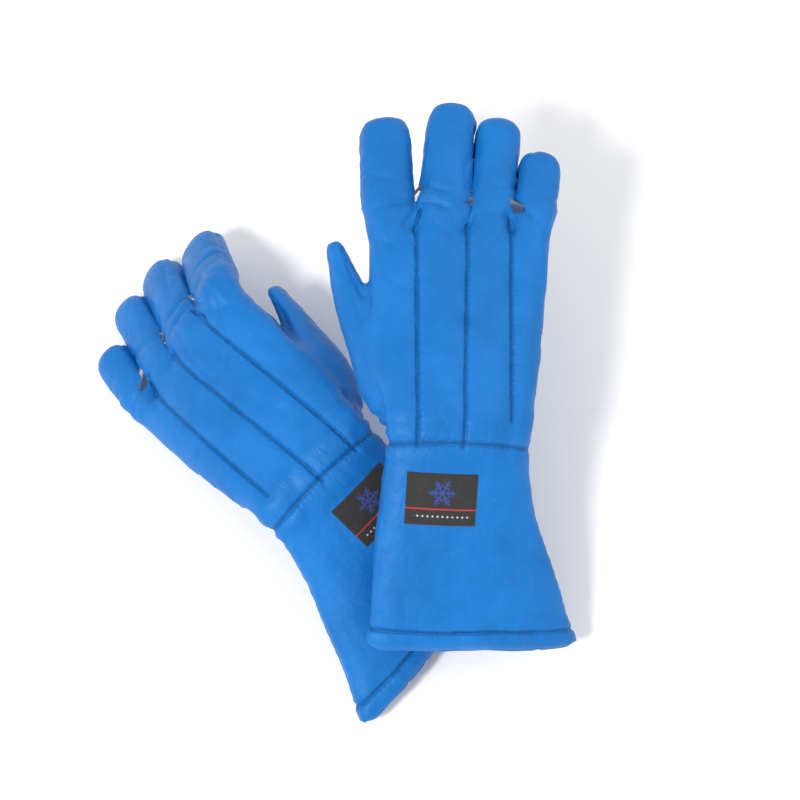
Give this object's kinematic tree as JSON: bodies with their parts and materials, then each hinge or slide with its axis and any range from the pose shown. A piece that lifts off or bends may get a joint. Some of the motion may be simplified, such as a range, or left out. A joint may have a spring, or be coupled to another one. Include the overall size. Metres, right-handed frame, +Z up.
{
  "type": "cryogenic gloves",
  "caption": "Pair of long blue insulated gloves for very cold work, one lying across the other, with jointed fingers, thumbs and wrists, a lining and flared cuffs.",
  "frame": {"origin": "on the bench, under the middle of the pair's box", "axes": "+Z up, +Y towards the upper glove's fingertips, +X towards its little finger"},
  "size_m": [0.3302, 0.3952, 0.1516],
  "materials": {
    "shell": "woven nylon with a satin sheen",
    "batting": "fluffy batting",
    "lining": "brushed knit",
    "label": "woven label",
    "label_line": "woven label"
  },
  "bodies": {
    "left_cuff": {"left_cuff_back_panel": "shell", "left_cuff_palm_panel": "shell", "left_cuff_insulation": "batting", "left_cuff_lining": "lining", "left_hem_facing": "shell", "left_label_patch": "label", "left_label_line": "label_line"},
    "left_hand": {"left_palm_shell": "shell", "left_hand_insulation": "batting", "left_hand_lining": "lining", "left_index_back_strip": "shell", "left_middle_back_strip": "shell", "left_ring_back_strip": "shell", "left_little_back_strip": "shell"},
    "left_thumb": {"left_thumb_shell": "shell", "left_thumb_insulation": "batting", "left_thumb_lining": "lining"},
    "left_index": {"left_index_shell": "shell", "left_index_insulation": "batting", "left_index_lining": "lining"},
    "left_middle": {"left_middle_shell": "shell", "left_middle_insulation": "batting", "left_middle_lining": "lining"},
    "left_ring": {"left_ring_shell": "shell", "left_ring_insulation": "batting", "left_ring_lining": "lining"},
    "left_little": {"left_little_shell": "shell", "left_little_insulation": "batting", "left_little_lining": "lining"},
    "right_cuff": {"right_cuff_back_panel": "shell", "right_cuff_palm_panel": "shell", "right_cuff_insulation": "batting", "right_cuff_lining": "lining", "right_hem_facing": "shell", "right_label_patch": "label", "right_label_line": "label_line"},
    "right_hand": {"right_palm_shell": "shell", "right_hand_insulation": "batting", "right_hand_lining": "lining", "right_index_back_strip": "shell", "right_middle_back_strip": "shell", "right_ring_back_strip": "shell", "right_little_back_strip": "shell"},
    "right_thumb": {"right_thumb_shell": "shell", "right_thumb_insulation": "batting", "right_thumb_lining": "lining"},
    "right_index": {"right_index_shell": "shell", "right_index_insulation": "batting", "right_index_lining": "lining"},
    "right_middle": {"right_middle_shell": "shell", "right_middle_insulation": "batting", "right_middle_lining": "lining"},
    "right_ring": {"right_ring_shell": "shell", "right_ring_insulation": "batting", "right_ring_lining": "lining"},
    "right_little": {"right_little_shell": "shell", "right_little_insulation": "batting", "right_little_lining": "lining"}
  },
  "joints": [
    {"name": "right_glove_lift", "type": "slide", "parent": "left_cuff", "child": "right_cuff", "axis": [0, 0, 1], "range_m": [0, 0.2]},
    {"name": "left_wrist_bend", "type": "hinge", "parent": "left_cuff", "child": "left_hand", "pos_m": [-0.00868, -0.04599, 0.08538], "axis": [-0.7084, -0.6825, -0.1801], "range_deg": [-2, 25]},
    {"name": "left_thumb_bend", "type": "hinge", "parent": "left_hand", "child": "left_thumb", "pos_m": [0.00634, 0.01492, 0.07989], "axis": [-0.7696, -0.2303, 0.5955], "range_deg": [-6, 16]},
    {"name": "left_index_bend", "type": "hinge", "parent": "left_hand", "child": "left_index", "pos_m": [-0.07564, 0.08402, 0.07663], "axis": [-0.5397, -0.6462, -0.5395], "range_deg": [-30, 40]},
    {"name": "left_middle_bend", "type": "hinge", "parent": "left_hand", "child": "left_middle", "pos_m": [-0.09461, 0.06131, 0.05767], "axis": [-0.5397, -0.6462, -0.5395], "range_deg": [-22, 48]},
    {"name": "left_ring_bend", "type": "hinge", "parent": "left_hand", "child": "left_ring", "pos_m": [-0.11145, 0.04115, 0.04083], "axis": [-0.5397, -0.6462, -0.5395], "range_deg": [-18, 55]},
    {"name": "left_little_bend", "type": "hinge", "parent": "left_hand", "child": "left_little", "pos_m": [-0.12716, 0.02234, 0.02513], "axis": [-0.5397, -0.6462, -0.5395], "range_deg": [-8, 65]},
    {"name": "right_wrist_bend", "type": "hinge", "parent": "right_cuff", "child": "right_hand", "pos_m": [0.08668, -0.0332, 0.12382], "axis": [-0.9843, -0.0276, 0.1744], "range_deg": [-45, 0]},
    {"name": "right_thumb_bend", "type": "hinge", "parent": "right_hand", "child": "right_thumb", "pos_m": [0.03486, 0.00244, 0.12069], "axis": [-0.6051, -0.1392, -0.7839], "range_deg": [-6, 16]},
    {"name": "right_index_bend", "type": "hinge", "parent": "right_hand", "child": "right_index", "pos_m": [0.04165, 0.10557, 0.13714], "axis": [-0.9984, -0.0182, 0.0535], "range_deg": [-10, 68]},
    {"name": "right_middle_bend", "type": "hinge", "parent": "right_hand", "child": "right_middle", "pos_m": [0.07674, 0.10621, 0.13526], "axis": [-0.9984, -0.0182, 0.0535], "range_deg": [-8, 70]},
    {"name": "right_ring_bend", "type": "hinge", "parent": "right_hand", "child": "right_ring", "pos_m": [0.10789, 0.10678, 0.13359], "axis": [-0.9984, -0.0182, 0.0535], "range_deg": [-10, 68]},
    {"name": "right_little_bend", "type": "hinge", "parent": "right_hand", "child": "right_little", "pos_m": [0.13694, 0.10731, 0.13204], "axis": [-0.9984, -0.0182, 0.0535], "range_deg": [-12, 65]}
  ]
}
